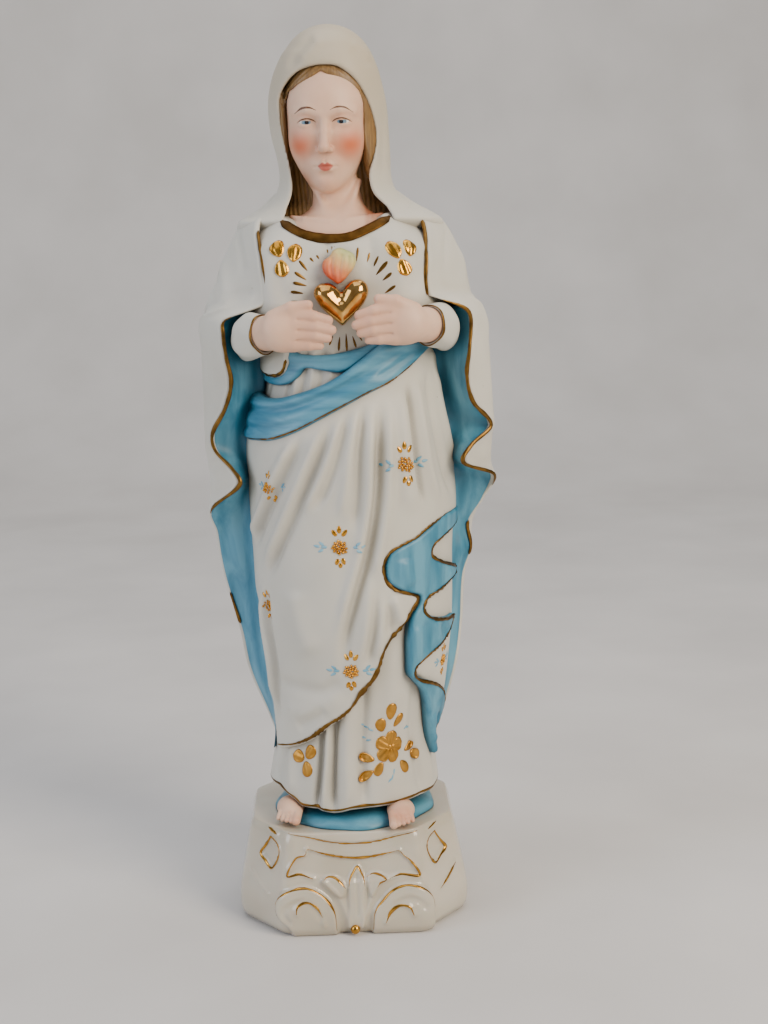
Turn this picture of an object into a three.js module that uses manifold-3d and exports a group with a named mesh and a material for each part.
// A standing Madonna figurine in painted bisque porcelain, as the separate castings that are stuck together
// before firing. Millimetres, +Z up, -Y is the front. The origin is the centre of the pedestal's underside.
import * as THREE from "three";
import { mergeVertices } from "three/addons/utils/BufferGeometryUtils.js";
import Module from "manifold-3d";

const wasm = await Module();
wasm.setup();

// ---------- driving dimensions, in millimetres ----------
const GAP = 0.3; // clearance left between two castings that touch
const WALL = 4; // thickness of a slip-cast wall

const PEDESTAL_HEIGHT = 44.5;
const PEDESTAL_HALF_WIDTH = 50; // at the bulge, just above the foot
const PEDESTAL_HALF_DEPTH = 45;
const PEDESTAL_FRONT_HALF = 31; // half length of the straight front and back faces
const PEDESTAL_SIDE_HALF = 22; // half length of the straight side faces
const VENT_RADIUS = 6; // the hole that drains the slip, in the floor and in the top
const VENT_BACK = 18; // how far behind the centre the floor's hole lies

const GROUND_HEIGHT = 7.5; // the blue mound between the pedestal and the hem
const SKIRT_LENGTH = 182.4; // hem to waist
const BODICE_LENGTH = 67; // waist to collar
const CHIN_ABOVE_COLLAR = 10.7;
const FACE_HALF_WIDTH = 17.5;
const FACE_HALF_DEPTH = 19.5;
const FACE_HALF_HEIGHT = 27.5;
const NECK_RADIUS = 13;
const HAIR_THICK = 1.8;
const VEIL_THICK = 4.2;
const MANTLE_THICK = 3.2;
const DRAPE_THICK = 2.2;
const SASH_THICK = 3;

const CUFF_WALL = 2;
const HEART_WIDTH = 21;
const HEART_HEIGHT = 17;
const HEART_DEPTH = 6;
const FLAME_HEIGHT = 13;
const FOOT_HALF_WIDTH = 6;
const VOLUTE_RADIUS = 11.5;
const RELIEF = 2.2; // how far an applied ornament stands out of the pedestal

// ---------- heights that follow from them ----------
const groundZ = PEDESTAL_HEIGHT + GAP;
const hemZ = groundZ + GROUND_HEIGHT + GAP;
const waistZ = hemZ + SKIRT_LENGTH;
const collarZ = waistZ + GAP + BODICE_LENGTH;
const chinZ = collarZ + CHIN_ABOVE_COLLAR;
const faceZ = chinZ + FACE_HALF_HEIGHT;

// A level runs 0 at the hem, 1 at the waist, 2 at the collar.
const heightOf = (level) =>
  level <= 1 ? hemZ + level * SKIRT_LENGTH : waistZ + GAP + (level - 1) * BODICE_LENGTH;

// ---------- tables of sections ----------
// [level, centre x, half width, front depth, back depth]
const BODY = [
  [-0.04, 1.3, 38.2, 36, 27],
  [0, 1.3, 38, 36, 27],
  [0.15, 2.5, 34.5, 34, 26],
  [0.26, 3.8, 36.5, 35, 26],
  [0.42, 4.5, 39, 37, 27],
  [0.59, 4.3, 40, 37.5, 27],
  [0.73, 4.3, 41, 37, 27],
  [0.86, 3.2, 40, 36, 26],
  [1, 4, 35, 32.5, 24],
  [1.25, 4, 34, 31.5, 23],
  [1.5, 3.5, 35.5, 32, 24],
  [1.75, 3, 35, 29.5, 23],
  [1.95, 1.5, 31, 23.5, 20],
  [2, 0.5, 27, 21, 18],
];
// The mantle from the left front edge round the back to the right one:
// [level, left edge x, y, left side x, y, right edge x, y, right side x, y, back y]
const MANTLE = [
  [0.03, -29, 20, -25, 26, 35, 20, 31, 26, 32],
  [0.1, -33, 14, -31, 20, 40, 15, 37, 21, 33],
  [0.18, -37, 6, -36, 13, 44, 9, 43, 15, 33],
  [0.29, -44, 4, -44, 12, 49, 5, 49, 13, 33],
  [0.39, -47, 2, -47, 10, 51.5, 4, 51, 12, 33],
  [0.51, -52.5, 1, -51, 9, 53, 3, 52.5, 11, 33],
  [0.58, -54.5, -2, -53, 7, 56.5, 1, 55, 9, 33],
  [0.64, -55.5, -5, -55, 5, 55.5, 0, 57, 8, 33],
  [0.7, -57, -12, -57.5, 2, 61.5, -4, 61, 6, 33],
  [0.765, -44, -22, -56.5, -6, 66, -12, 65, 2, 33],
  [0.8, -47, -20, -57, -6, 52.5, -22, 64.5, -4, 33],
  [0.84, -54, -16, -58, -4, 56, -20, 65, -4, 33],
  [0.88, -55, -16, -58, -4, 65, -13, 66, -1, 33],
  [0.94, -49, -19, -58, -4, 57, -20, 65.5, -4, 33],
  [1, -46, -20, -58, -4, 54.5, -21, 65, -4, 32],
  [1.15, -47.5, -21, -58, -4, 55.5, -22, 64.5, -4, 32],
  [1.3, -49.5, -21, -58, -4, 57.5, -21, 63.5, -4, 32],
  [1.4, -40, -24, -57, -3, 50, -25, 61, -3, 31],
  [1.48, -26.8, -31, -55, -3, 37.3, -31, 58, -3, 31],
  [1.75, -28, -28, -47, -1, 36.8, -28, 53, -1, 30],
  [1.97, -29, -20, -39, 1, 35.5, -19, 45, 1, 27],
  [2, -28.5, -18.5, -37, 2, 34.5, -17, 42.5, 2, 26],
];
// The veil below the skull: [height above the collar, centre x, half width, front depth, back depth]
const VEIL = [
  [0.3, 2.5, 38, 18, 27],
  [3, 2, 31, 17, 26],
  [9, 1.5, 25.5, 16, 25],
  [18, 0.5, 23.8, 17, 25],
  [32, -0.8, 24.6, 18, 26],
  [47, -1.2, 24.8, 19, 27],
];

// ---------- small tools ----------
const lerp = THREE.MathUtils.lerp;
const radians = THREE.MathUtils.degToRad;

// Reads a table at a height by smooth interpolation between its rows.
function readRow(rows, at) {
  const last = rows.length - 1;
  if (at <= rows[0][0]) return rows[0];
  if (at >= rows[last][0]) return rows[last];
  const i = rows.findIndex((row) => row[0] > at) - 1;
  const share = (at - rows[i][0]) / (rows[i + 1][0] - rows[i][0]);
  const before = rows[Math.max(0, i - 1)];
  const after = rows[Math.min(last, i + 2)];
  return rows[i].map((value, k) => {
    if (k === 0) return at;
    const step = rows[i + 1][0] - rows[i][0];
    const m0 = ((rows[i + 1][k] - before[k]) / (rows[i + 1][0] - before[0] || 1)) * step;
    const m1 = ((after[k] - value) / (after[0] - rows[i][0] || 1)) * step;
    const s2 = share * share;
    const s3 = s2 * share;
    return (
      (2 * s3 - 3 * s2 + 1) * value +
      (s3 - 2 * s2 + share) * m0 +
      (3 * s2 - 2 * s3) * rows[i + 1][k] +
      (s3 - s2) * m1
    );
  });
}

// One closed geometry from rings of equal length, bottom ring first, each ring counterclockwise from above.
function loft(rings) {
  const count = rings[0].length;
  const position = rings.flat().flatMap((p) => [p.x, p.y, p.z]);
  const index = [];
  for (let r = 0; r < rings.length - 1; r++)
    for (let i = 0; i < count; i++) {
      const a = r * count + i;
      const b = r * count + ((i + 1) % count);
      index.push(a, b, b + count, a, b + count, a + count);
    }
  const cap = THREE.ShapeUtils.triangulateShape(flatten(rings[0]), []);
  cap.forEach(([a, b, c]) => index.push(a, c, b));
  const top = (rings.length - 1) * count;
  const lid = THREE.ShapeUtils.triangulateShape(flatten(rings[rings.length - 1]), []);
  lid.forEach(([a, b, c]) => index.push(top + a, top + b, top + c));
  const geometry = new THREE.BufferGeometry();
  geometry.setAttribute("position", new THREE.Float32BufferAttribute(position, 3));
  geometry.setIndex(index);
  return geometry;
}

// A ring's own plane as 2-D points, so that its cap can be triangulated whichever way it faces.
function flatten(ring) {
  const centre = ring.reduce((sum, p) => sum.add(p), new THREE.Vector3()).divideScalar(ring.length);
  const normal = new THREE.Vector3();
  ring.forEach((p, i) => {
    const next = ring[(i + 1) % ring.length];
    normal.add(p.clone().sub(centre).cross(next.clone().sub(centre)));
  });
  normal.normalize();
  const across = new THREE.Vector3(1, 0, 0);
  if (Math.abs(normal.x) > 0.9) across.set(0, 1, 0);
  across.addScaledVector(normal, -across.dot(normal)).normalize();
  const up = normal.clone().cross(across);
  return ring.map((p) => new THREE.Vector2(p.clone().sub(centre).dot(across), p.clone().sub(centre).dot(up)));
}

function solidOf(geometry) {
  const bare = geometry.clone();
  bare.deleteAttribute("normal");
  bare.deleteAttribute("uv");
  const merged = mergeVertices(bare, 1e-4);
  return new wasm.Manifold(
    new wasm.Mesh({
      numProp: 3,
      vertProperties: new Float32Array(merged.attributes.position.array),
      triVerts: new Uint32Array(merged.index.array),
    }),
  );
}

function geometryOf(solid) {
  const mesh = solid.getMesh();
  const geometry = new THREE.BufferGeometry();
  geometry.setAttribute("position", new THREE.BufferAttribute(mesh.vertProperties, mesh.numProp));
  geometry.setIndex(new THREE.BufferAttribute(mesh.triVerts, 1));
  return geometry;
}

// The largest of a solid's separate bodies: a cut may leave a crumb behind.
function mainBody(solid) {
  return solid.decompose().reduce((best, body) => (body.volume() > best.volume() ? body : best));
}

const cut = (solid, ...tools) => tools.reduce((rest, tool) => rest.subtract(tool), solid);
const join = (...solids) => solids.reduce((whole, solid) => whole.add(solid));

function ellipsoid(x, y, z, rx, ry, rz, segments = 16) {
  const geometry = new THREE.SphereGeometry(1, segments, Math.round(segments * 0.6));
  geometry.rotateX(Math.PI / 2);
  geometry.scale(rx, ry, rz);
  geometry.translate(x, y, z);
  return solidOf(geometry);
}

// A swept limb: stations of [x, y, z, radius across, radius up] joined by rings that face along the path.
function limb(stations, grow = 0, sides = 12) {
  const points = stations.map(([x, y, z]) => new THREE.Vector3(x, y, z));
  const rings = stations.map(([, , , across, up], i) => {
    const ahead = points[Math.min(i + 1, points.length - 1)];
    const behind = points[Math.max(i - 1, 0)];
    const along = ahead.clone().sub(behind).normalize();
    const side = new THREE.Vector3(0, 0, 1).cross(along).normalize();
    const rise = along.clone().cross(side);
    return Array.from({ length: sides }, (_, k) => {
      const turn = (k / sides) * 2 * Math.PI;
      return points[i]
        .clone()
        .addScaledVector(side, Math.cos(turn) * (across + grow))
        .addScaledVector(rise, Math.sin(turn) * (up + grow));
    });
  });
  return solidOf(loft(rings));
}

// A closed flat outline, made solid from the front (-Y) plane at y, and as deep as asked.
function plaque(shape, y, depth, curveSegments = 8) {
  const geometry = new THREE.ExtrudeGeometry(shape, { depth, bevelEnabled: false, curveSegments });
  geometry.rotateX(Math.PI / 2); // the outline's own y becomes z, and its depth runs to -Y
  geometry.translate(0, y, 0);
  return solidOf(geometry);
}

// ---------- the body that the clothes are laid on ----------
// turn is 0 at the front, positive towards +X; the body is an ellipse with its own front and back depth.
function bodyPoint(turn, level, grow, z = heightOf(level)) {
  const [, cx, half, front, back] = readRow(BODY, level);
  const depth = Math.cos(turn) > 0 ? front : back;
  return new THREE.Vector3(cx + (half + grow) * Math.sin(turn), -(depth + grow) * Math.cos(turn), z);
}

// Upright pleats of the gown, deepest at the hem and gone at the knee.
const PLEAT_COUNT = 11;
const PLEAT_DEPTH = 1.3;
const pleat = (turn, level) => PLEAT_DEPTH * Math.cos(PLEAT_COUNT * turn) * Math.max(0, 1 - level / 0.45);

function bodyShell(from, to, steps, grow, sides = 40) {
  const rings = [];
  for (let s = 0; s <= steps; s++) {
    const level = lerp(from, to, s / steps);
    rings.push(
      Array.from({ length: sides }, (_, i) => {
        const turn = (i / sides) * 2 * Math.PI;
        return bodyPoint(turn, level, grow + pleat(turn, level));
      }),
    );
  }
  return solidOf(loft(rings));
}

// A garment laid on the body from turn `from` to turn `to`, in degrees. Its lower and upper edges are a
// level for every turn, and it fills the body's offsets base to base + thick. grow widens it on every
// side, for the tool that clears a neighbour.
const SLIMMEST_RADIUS = 30;
function garment({ from, to, low, high, base, thick, across = 24, up = 8 }, grow = 0) {
  const turnMargin = grow / SLIMMEST_RADIUS;
  const levelMargin = (2 * grow) / BODICE_LENGTH;
  const skin = (offset) =>
    Array.from({ length: across + 1 }, (_, i) => {
      const turn = lerp(radians(from) - turnMargin, radians(to) + turnMargin, i / across);
      return Array.from({ length: up + 1 }, (_, j) => {
        const level = lerp(low(turn) - levelMargin, high(turn) + levelMargin, j / up);
        return bodyPoint(turn, level, offset + Math.max(0, pleat(0, level)));
      });
    });
  const outer = skin(base + thick + grow);
  const inner = skin(base - grow);
  // Each column is one ring: up the inside and down the outside.
  const rings = inner.map((column, i) => [...column, ...outer[i].slice().reverse()]);
  return solidOf(loft(rings));
}

// Linear reading of [turn in degrees, level] pairs.
function edgeOf(pairs) {
  return (turn) => {
    const at = THREE.MathUtils.radToDeg(turn);
    const last = pairs.length - 1;
    if (at <= pairs[0][0]) return pairs[0][1];
    if (at >= pairs[last][0]) return pairs[last][1];
    const i = pairs.findIndex(([t]) => t > at) - 1;
    return lerp(pairs[i][1], pairs[i + 1][1], (at - pairs[i][0]) / (pairs[i + 1][0] - pairs[i][0]));
  };
}

// ---------- pedestal ----------
// [share of the height, share of the half width]
const PEDESTAL_PROFILE = [
  [0, 0.95],
  [0.08, 0.99],
  [0.25, 1],
  [0.5, 0.965],
  [0.75, 0.92],
  [0.92, 0.89],
  [1, 0.86],
];

// An irregular octagon with eased corners.
function octagon(scale, z, shrink = 0) {
  const w = PEDESTAL_HALF_WIDTH * scale - shrink;
  const d = PEDESTAL_HALF_DEPTH * scale - shrink;
  const f = PEDESTAL_FRONT_HALF * scale - shrink / 2;
  const s = PEDESTAL_SIDE_HALF * scale - shrink / 2;
  const corners = [[f, -d], [w, -s], [w, s], [f, d], [-f, d], [-w, s], [-w, -s], [-f, -d]];
  const EASE = 0.22;
  return corners.flatMap(([x, y], i) => {
    const here = new THREE.Vector3(x, y, z);
    const [px, py] = corners[(i + 7) % 8];
    const [nx, ny] = corners[(i + 1) % 8];
    const before = here.clone().lerp(new THREE.Vector3(px, py, z), EASE);
    const after = here.clone().lerp(new THREE.Vector3(nx, ny, z), EASE);
    const middle = before.clone().add(after).multiplyScalar(0.25).addScaledVector(here, 0.5);
    return [before, middle, after];
  });
}

function pedestalBlock(shrink, low, high) {
  const rings = PEDESTAL_PROFILE.map(([share, scale]) => octagon(scale, lerp(low, high, share), shrink));
  return solidOf(loft(rings));
}

function ventTool(y, low, high) {
  const geometry = new THREE.CylinderGeometry(VENT_RADIUS, VENT_RADIUS, high - low, 20);
  geometry.rotateX(Math.PI / 2);
  geometry.translate(0, y, (high + low) / 2);
  return solidOf(geometry);
}

function makePedestal() {
  const hollow = pedestalBlock(WALL, WALL, PEDESTAL_HEIGHT - WALL);
  const floorVent = ventTool(VENT_BACK, -1, WALL + 1);
  const topVent = ventTool(0, PEDESTAL_HEIGHT - WALL - 1, PEDESTAL_HEIGHT + 1);
  return cut(pedestalBlock(0, 0, PEDESTAL_HEIGHT), hollow, floorVent, topVent);
}

// The applied ornament of the front face: two volutes, a palmette and a bead.
const ornamentCut = () => pedestalBlock(-GAP, -GAP, PEDESTAL_HEIGHT + GAP);
const frontY = -PEDESTAL_HALF_DEPTH; // the foremost plane of the pedestal
const VOLUTE_X = 18; // how far each volute's centre is from the middle
const VOLUTE_Z = VOLUTE_RADIUS + 1;
const VOLUTE_SET_BACK = 1.5 * RELIEF; // the disc's back is buried, because the front face leans back

function makeVolute(side) {
  const profile = [
    [0, 0],
    [VOLUTE_RADIUS, 0],
    [VOLUTE_RADIUS, RELIEF * 1.6],
    [VOLUTE_RADIUS - 1.6, RELIEF * 2.2],
    [VOLUTE_RADIUS - 4, RELIEF * 1.8],
    [3.5, RELIEF * 2],
    [0, RELIEF * 2.3],
  ].map(([r, h]) => new THREE.Vector2(r, h));
  const geometry = new THREE.LatheGeometry(profile, 24);
  geometry.rotateX(Math.PI); // the lathe's axis now points to the front
  geometry.translate(side * VOLUTE_X, frontY + VOLUTE_SET_BACK, VOLUTE_Z);
  return mainBody(cut(solidOf(geometry), ornamentCut()));
}

function makePalmette() {
  const shape = new THREE.Shape();
  const HALF = 5.4;
  const TALL = 28;
  shape.moveTo(-HALF * 0.6, 5);
  shape.quadraticCurveTo(-2, 12, -HALF, 20);
  shape.quadraticCurveTo(-2.6, 19.5, -1.8, 20);
  shape.quadraticCurveTo(-1.4, 25, 0, TALL);
  shape.quadraticCurveTo(1.4, 25, 1.8, 20);
  shape.quadraticCurveTo(2.6, 19.5, HALF, 20);
  shape.quadraticCurveTo(2, 12, HALF * 0.6, 5);
  const blank = plaque(shape, frontY + 2 * RELIEF, 3 * RELIEF, 4);
  return mainBody(cut(blank, ornamentCut()));
}

function makeBead() {
  const BEAD_RADIUS = 2;
  const ball = ellipsoid(0, frontY - 1, 2 * BEAD_RADIUS - 1, BEAD_RADIUS, BEAD_RADIUS, BEAD_RADIUS, 12);
  return mainBody(cut(ball, ornamentCut()));
}

// ---------- ground and feet ----------
const FEET = { left: [-24, -30], right: [21.5, -31.5] };

function foot(side, grow) {
  const [x, y] = FEET[side];
  const z = groundZ + GAP + 3.2;
  const stations = [
    [x * 0.9, y + 8, z + 1.6, FOOT_HALF_WIDTH * 0.8, 3.4],
    [x, y, z + 0.8, FOOT_HALF_WIDTH, 3],
    [x, y - 4.5, z - 0.2, FOOT_HALF_WIDTH * 0.95, 2.5],
    [x, y - 7.2, z - 0.8, FOOT_HALF_WIDTH * 0.55, 1.5],
  ];
  return limb(stations, grow, 12);
}

function makeGround() {
  const rings = [
    [0, 1.8],
    [0.35, 1.4],
    [1, -0.8],
  ].map(([share, grow]) =>
    Array.from({ length: 32 }, (_, i) => {
      const turn = (i / 32) * 2 * Math.PI;
      return bodyPoint(turn, 0, grow, groundZ + share * GROUND_HEIGHT);
    }),
  );
  const vent = ventTool(0, groundZ - 1, groundZ + GROUND_HEIGHT + 1);
  return cut(solidOf(loft(rings)), vent, foot("left", GAP), foot("right", GAP));
}

// ---------- gown and bodice ----------
// The skirt is open at the hem and closed at the waist.
function makeGown() {
  const outside = bodyShell(0, 1, 12, 0);
  const roof = WALL / SKIRT_LENGTH;
  const inside = bodyShell(-0.04, 1 - roof, 7, -WALL - PLEAT_DEPTH, 24);
  return cut(outside, inside, foot("left", GAP), foot("right", GAP));
}

// The bodice is open at the waist and at the neck, where the head's chest plate sits in it.
function makeBodice() {
  const inside = bodyShell(0.9, 1.9, 6, -WALL, 24);
  return cut(bodyShell(1, 2, 6, 0, 32), inside, bust(GAP));
}

// ---------- clothes laid on the gown ----------
const DRAPE_BASE = PLEAT_DEPTH + GAP;
const SEAM = (2 * GAP) / SKIRT_LENGTH; // the clearance between two garments, as a share of a level

const drapeHem = edgeOf([
  [-100, 0.14],
  [-60, 0.14],
  [-40, 0.165],
  [-10, 0.225],
  [8, 0.29],
  [22, 0.36],
  [31, 0.41],
  [45, 0.6],
  [60, 0.65],
  [75, 0.68],
  [100, 0.7],
]);
const sashLow = edgeOf([
  [-100, 0.86],
  [-75, 0.86],
  [-50, 0.87],
  [-6, 0.955],
  [30, 1.02],
  [60, 1.13],
]);
const sashHigh = edgeOf([
  [-100, 0.99],
  [-75, 0.99],
  [-40, 0.985],
  [-6, 1.03],
  [30, 1.12],
  [60, 1.19],
]);
const cascadeLow = edgeOf([
  [16, 0.345],
  [30, 0.26],
  [42, 0.2],
  [58, 0.115],
  [66, 0.125],
  [78, 0.2],
  [90, 0.26],
]);
const upperSashLow = (turn) => Math.max(sashHigh(turn) + SEAM, 1.05);

// The overskirt, from its slanting hem up to the sash.
const DRAPE = {
  from: -100,
  to: 100,
  low: drapeHem,
  high: (turn) => sashLow(turn) - 2 * SEAM,
  base: DRAPE_BASE,
  thick: DRAPE_THICK,
};
// The turned-over end of the overskirt, hanging in a zigzag on the right.
const CASCADE = {
  from: 17,
  to: 88,
  low: cascadeLow,
  high: (turn) => drapeHem(turn) - 3 * SEAM,
  base: DRAPE_BASE,
  thick: DRAPE_THICK,
  across: 16,
  up: 5,
};
const SASH = {
  from: -100,
  to: 60,
  low: sashLow,
  high: sashHigh,
  base: DRAPE_BASE,
  thick: SASH_THICK + DRAPE_THICK / 2,
  across: 20,
  up: 3,
};
const UPPER_SASH = {
  from: -42,
  to: 14,
  low: upperSashLow,
  high: (turn) => upperSashLow(turn) + 0.11,
  base: GAP,
  thick: SASH_THICK,
  across: 10,
  up: 2,
};

// ---------- mantle ----------
// One section: the outside from the left edge round the back to the right edge, then the inside back again.
function mantleRing(level, grow) {
  const [, exl, eyl, sxl, syl, exr, eyr, sxr, syr, back] = readRow(MANTLE, level);
  const z = heightOf(level);
  const middle = (sxl + sxr) / 2;
  const path = new THREE.CatmullRomCurve3(
    [
      [exl, eyl],
      [sxl, syl],
      [lerp(middle, sxl, 0.88), lerp(syl, back, 0.52)],
      [lerp(middle, sxl, 0.5), lerp(syl, back, 0.9)],
      [middle, back],
      [lerp(middle, sxr, 0.5), lerp(syr, back, 0.9)],
      [lerp(middle, sxr, 0.88), lerp(syr, back, 0.52)],
      [sxr, syr],
      [exr, eyr],
    ].map(([x, y]) => new THREE.Vector3(x, y, z)),
    false,
    "centripetal",
  );
  const STEPS = 22;
  const points = path.getPoints(STEPS);
  const inward = points.map((_, i) => {
    const along = points[Math.min(i + 1, STEPS)].clone().sub(points[Math.max(i - 1, 0)]).normalize();
    return new THREE.Vector3(along.y, -along.x, 0);
  });
  const taper = (i) => (i === 0 || i === STEPS ? 0.5 : 1);
  const outside = points.map((p, i) => p.clone().addScaledVector(inward[i], -grow));
  const inside = points.map((p, i) => p.clone().addScaledVector(inward[i], MANTLE_THICK * taper(i) + grow));
  return [...inside, ...outside.reverse()];
}

function mantleBlock(grow) {
  const levels = MANTLE.map((row) => row[0]);
  const rings = levels.map((level) => mantleRing(level, grow));
  return solidOf(loft(rings));
}

// The blue lining that shows between the gown and the mantle's edge on one side.
function liningBlock(side) {
  const rings = [0.2, 0.3, 0.4, 0.52, 0.64, 0.72, 0.8, 0.88, 0.96, 1.1, 1.3].map((level) => {
    const row = readRow(MANTLE, level);
    const [ex, ey, sx, sy] = side < 0 ? row.slice(1, 5) : row.slice(5, 9);
    const z = heightOf(level);
    const inner = bodyPoint((side * Math.PI) / 2, level, -6);
    const edgeX = Math.abs(ex) < Math.abs(sx) ? ex : sx - side * 4;
    const ring = [
      [inner.x, -10],
      [lerp(inner.x, edgeX, 0.6), Math.max(ey + 6, -9)],
      [edgeX, ey + 3],
      [sx - side * 1, sy + 2],
      [sx - side * 3, sy + 12],
      [inner.x, 16],
    ].map(([x, y]) => new THREE.Vector3(x, y, z));
    return side < 0 ? ring.reverse() : ring;
  });
  return solidOf(loft(rings));
}

// ---------- arms ----------
// Stations from the elbow to the fingertips: [x, y, level, radius across, radius up]
const ARMS = {
  left: [
    [-45, -14, 1.254, 9, 9.5],
    [-41, -26, 1.284, 9, 9.5],
    [-35, -35, 1.306, 7.4, 7.6],
    [-28, -39, 1.321, 6.6, 7.2],
    [-18, -41, 1.336, 5, 7.4],
    [-9, -42, 1.343, 3.8, 6.4],
    [-2, -42.5, 1.336, 2.4, 4.2],
  ],
  right: [
    [51, -14, 1.299, 9, 9.5],
    [46, -26, 1.313, 9, 9.5],
    [39, -35, 1.328, 7.6, 7.8],
    [32, -39, 1.343, 6.8, 7.4],
    [23, -41, 1.358, 5, 7.4],
    [15, -42, 1.366, 3.8, 6.4],
    [8, -42.5, 1.366, 2.4, 4.2],
  ],
};
const CUFF_END = 2; // the station where the sleeve ends; the forearm starts one station above it

const armStations = (side) => ARMS[side].map(([x, y, level, across, up]) => [x, y, heightOf(level), across, up]);
const forearm = (side, grow) => limb(armStations(side).slice(CUFF_END - 1), grow);

function sleeve(side, grow) {
  const upperArm = armStations(side).slice(0, CUFF_END + 1);
  const padded = upperArm.map(([x, y, z, across, up]) => [x, y, z, across + CUFF_WALL, up + CUFF_WALL]);
  return limb(padded, grow, 14);
}

const bothForearms = (grow) => join(forearm("left", grow), forearm("right", grow));
const bothSleeves = (grow) => join(sleeve("left", grow), sleeve("right", grow));

// ---------- heart and flame ----------
const heartZ = heightOf(1.485);
const HEART_X = 2;
const heartY = -38.5;

function heartShape(width, height) {
  const shape = new THREE.Shape();
  const w = width / 2;
  const h = height / 2;
  shape.moveTo(0, -h);
  shape.bezierCurveTo(w * 0.35, -h * 0.55, w, -h * 0.1, w, h * 0.45);
  shape.bezierCurveTo(w, h * 1.1, w * 0.25, h * 1.2, 0, h * 0.55);
  shape.bezierCurveTo(-w * 0.25, h * 1.2, -w, h * 1.1, -w, h * 0.45);
  shape.bezierCurveTo(-w, -h * 0.1, -w * 0.35, -h * 0.55, 0, -h);
  return shape;
}

function heart(grow) {
  const shape = heartShape(HEART_WIDTH + 2 * grow, HEART_HEIGHT + 2 * grow);
  return plaque(shape, heartY + HEART_DEPTH / 2 + grow, HEART_DEPTH + 2 * grow, 5).translate(
    HEART_X,
    0,
    heartZ,
  );
}

function flame(grow) {
  const z = heartZ + HEART_HEIGHT / 2 + FLAME_HEIGHT / 2 - 2;
  return ellipsoid(HEART_X - 1, -34.5, z, 6 + grow, 3 + grow, FLAME_HEIGHT / 2 + grow, 14);
}

// ---------- head ----------
const FACE_X = -1.5;
const FACE_Y = -4;

function bust(grow) {
  const skull = ellipsoid(
    FACE_X,
    FACE_Y,
    faceZ,
    FACE_HALF_WIDTH + grow,
    FACE_HALF_DEPTH + grow,
    FACE_HALF_HEIGHT + grow,
  );
  const nose = ellipsoid(FACE_X - 0.5, FACE_Y - FACE_HALF_DEPTH, faceZ - 5, 2.6 + grow, 3 + grow, 6 + grow, 8);
  const neckBottom = collarZ - 16;
  const neck = solidOf(
    loft(
      [
        [neckBottom, NECK_RADIUS * 1.2],
        [collarZ - 4, NECK_RADIUS * 1.1],
        [chinZ - 2, NECK_RADIUS],
        [faceZ, NECK_RADIUS * 0.9],
      ].map(([z, radius]) =>
        Array.from({ length: 14 }, (_, i) => {
          const turn = (i / 14) * 2 * Math.PI;
          const r = radius + grow;
          return new THREE.Vector3(r * Math.sin(turn) - 0.5, -r * Math.cos(turn) - 2, z);
        }),
      ),
    ),
  );
  const chest = ellipsoid(0, -6, collarZ - 3, 20.5 + grow, 15.5 + grow, 12 + grow, 14);
  return join(skull, nose, neck, chest);
}

// A tall rounded window, cut from the front to the middle of the head.
function faceWindow(halfWidth, top, bottom) {
  const shape = new THREE.Shape();
  const middle = (top + bottom) / 2;
  shape.moveTo(halfWidth * 0.92, bottom);
  shape.lineTo(halfWidth, middle);
  shape.bezierCurveTo(halfWidth, top - 4, halfWidth * 0.6, top, 0, top);
  shape.bezierCurveTo(-halfWidth * 0.6, top, -halfWidth, top - 4, -halfWidth, middle);
  shape.lineTo(-halfWidth * 0.92, bottom);
  return plaque(shape, FACE_Y, 60, 6).translate(FACE_X, 0, 0);
}

function hairBlock(grow) {
  const cap = ellipsoid(
    FACE_X,
    FACE_Y,
    faceZ + 0.5,
    FACE_HALF_WIDTH + HAIR_THICK + grow,
    FACE_HALF_DEPTH + HAIR_THICK + grow,
    FACE_HALF_HEIGHT + HAIR_THICK + grow,
  );
  const lock = (side) =>
    limb(
      [
        [FACE_X + side * 15, -4, faceZ + 4, 3, 3],
        [FACE_X + side * 16, -6, chinZ + 8, 3.4, 3.4],
        [FACE_X + side * 16.5, -8, collarZ + 3, 3, 3],
      ].reverse(),
      grow,
      8,
    );
  return join(cap, lock(-1), lock(1));
}

const makeHair = () =>
  mainBody(
    cut(
      hairBlock(0),
      bust(GAP),
      faceWindow(FACE_HALF_WIDTH - 2.5, faceZ + FACE_HALF_HEIGHT - 6, chinZ - 30),
      bodyShell(1.9, 2, 2, 30),
    ),
  );

function makeVeil() {
  const crown = ellipsoid(
    FACE_X + 0.5,
    FACE_Y + 3,
    faceZ + 8,
    FACE_HALF_WIDTH + HAIR_THICK + VEIL_THICK + 1.5,
    FACE_HALF_DEPTH + HAIR_THICK + VEIL_THICK + 2,
    FACE_HALF_HEIGHT + HAIR_THICK + VEIL_THICK - 2,
    20,
  );
  const drop = solidOf(
    loft(
      VEIL.map(([above, cx, half, front, back]) =>
        Array.from({ length: 22 }, (_, i) => {
          const turn = (i / 22) * 2 * Math.PI;
          const depth = Math.cos(turn) > 0 ? front : back;
          return new THREE.Vector3(cx + half * Math.sin(turn), -depth * Math.cos(turn), collarZ + above);
        }),
      ),
    ),
  );
  const opening = faceWindow(FACE_HALF_WIDTH + 0.5, faceZ + FACE_HALF_HEIGHT - 2, collarZ - 30);
  return mainBody(cut(join(crown, drop), hairBlock(GAP), bust(GAP), opening));
}

// ---------- finishes ----------
const finish = (color, roughness, metalness = 0) =>
  new THREE.MeshStandardMaterial({ color, roughness, metalness });
const bisque = finish("#e6e1d6", 0.62);
const glazed = finish("#e9e6dd", 0.2);
const blue = finish("#6fa5be", 0.55);
const groundBlue = finish("#4a8296", 0.5);
const flesh = finish("#e3bba4", 0.55);
const brown = finish("#9b6a3c", 0.55);
const gold = finish("#c9953f", 0.18, 1);
const fire = finish("#e69a6c", 0.5);

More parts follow.
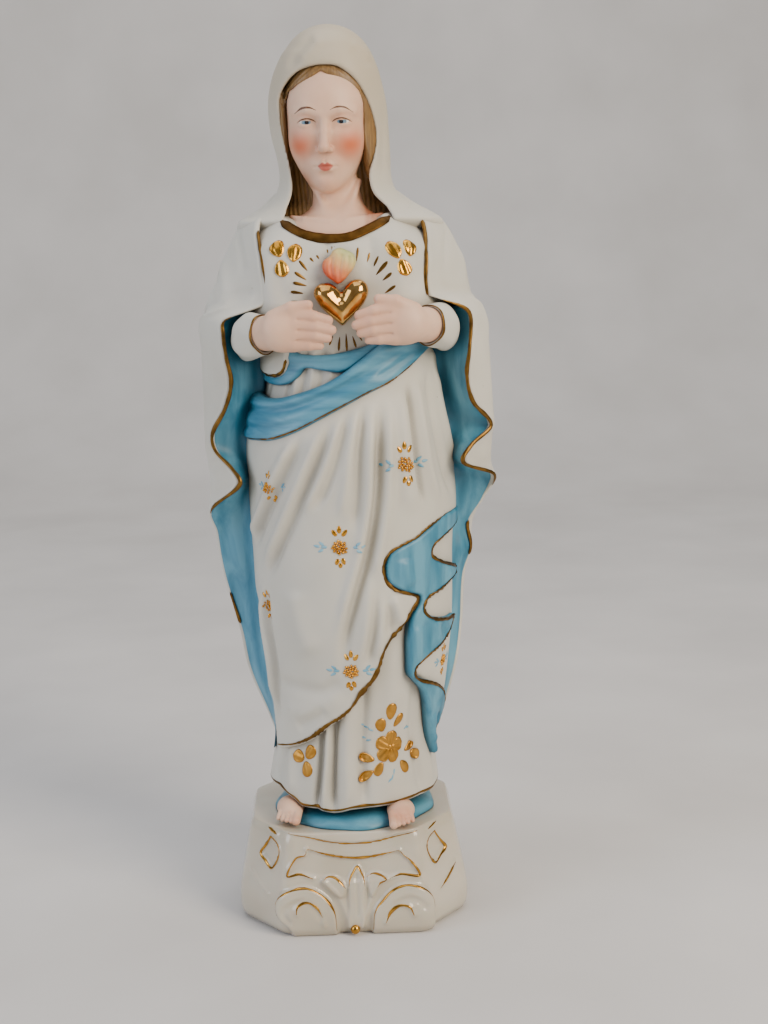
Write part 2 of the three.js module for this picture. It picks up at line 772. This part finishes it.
// ---------- assembly ----------
const root = new THREE.Group();

function add(name, solid, material) {
  const mesh = new THREE.Mesh(geometryOf(mainBody(solid)), material);
  mesh.name = name;
  root.add(mesh);
}

// The lower body of the garments, with the clearance that its neighbours keep.
const gownTool = bodyShell(-0.02, 1, 12, GAP);
const bodiceTool = bodyShell(1, 2, 6, GAP, 32);
const mantleTool = mantleBlock(GAP);
const sashTool = garment(SASH, GAP);
const drapeTool = garment(DRAPE, GAP);
const cascadeTool = garment(CASCADE, GAP);

add("pedestal", makePedestal(), glazed);
add("volute_left", makeVolute(-1), glazed);
add("volute_right", makeVolute(1), glazed);
add("palmette", makePalmette(), glazed);
add("bead", makeBead(), gold);
add("ground", makeGround(), groundBlue);
for (const side of ["left", "right"]) add("foot_" + side, foot(side, 0), flesh);

add("gown", makeGown(), bisque);
add("bodice", makeBodice(), bisque);
add("drape", cut(garment(DRAPE), mantleTool), bisque);
add("cascade", cut(garment(CASCADE), mantleTool, drapeTool), blue);
add("sash", cut(garment(SASH), mantleTool, bothForearms(GAP), bothSleeves(GAP)), blue);
add("upper_sash", cut(garment(UPPER_SASH), sashTool, bothForearms(GAP), bothSleeves(GAP)), blue);

const mantleSolid = cut(mantleBlock(0), gownTool, bodiceTool, bothForearms(GAP));
add("mantle", mantleSolid, bisque);
const underLining = [gownTool, bodiceTool, mantleTool, sashTool, drapeTool, cascadeTool, bothSleeves(GAP)];
add("lining_left", cut(liningBlock(-1), ...underLining), blue);
add("lining_right", cut(liningBlock(1), ...underLining), blue);

const underSleeve = [mantleTool, mantleSolid, bodiceTool, gownTool];
for (const side of ["left", "right"]) {
  add("sleeve_" + side, cut(sleeve(side, 0), forearm(side, GAP), ...underSleeve), bisque);
  add("hand_" + side, cut(forearm(side, 0), bodiceTool, heart(GAP), mantleTool), flesh);
}
add("heart", cut(heart(0), bodiceTool), gold);
add("flame", cut(flame(0), bodiceTool, heart(GAP)), fire);

add("head", bust(0), flesh);
add("hair", makeHair(), brown);
add("veil", makeVeil(), bisque);

export default root;
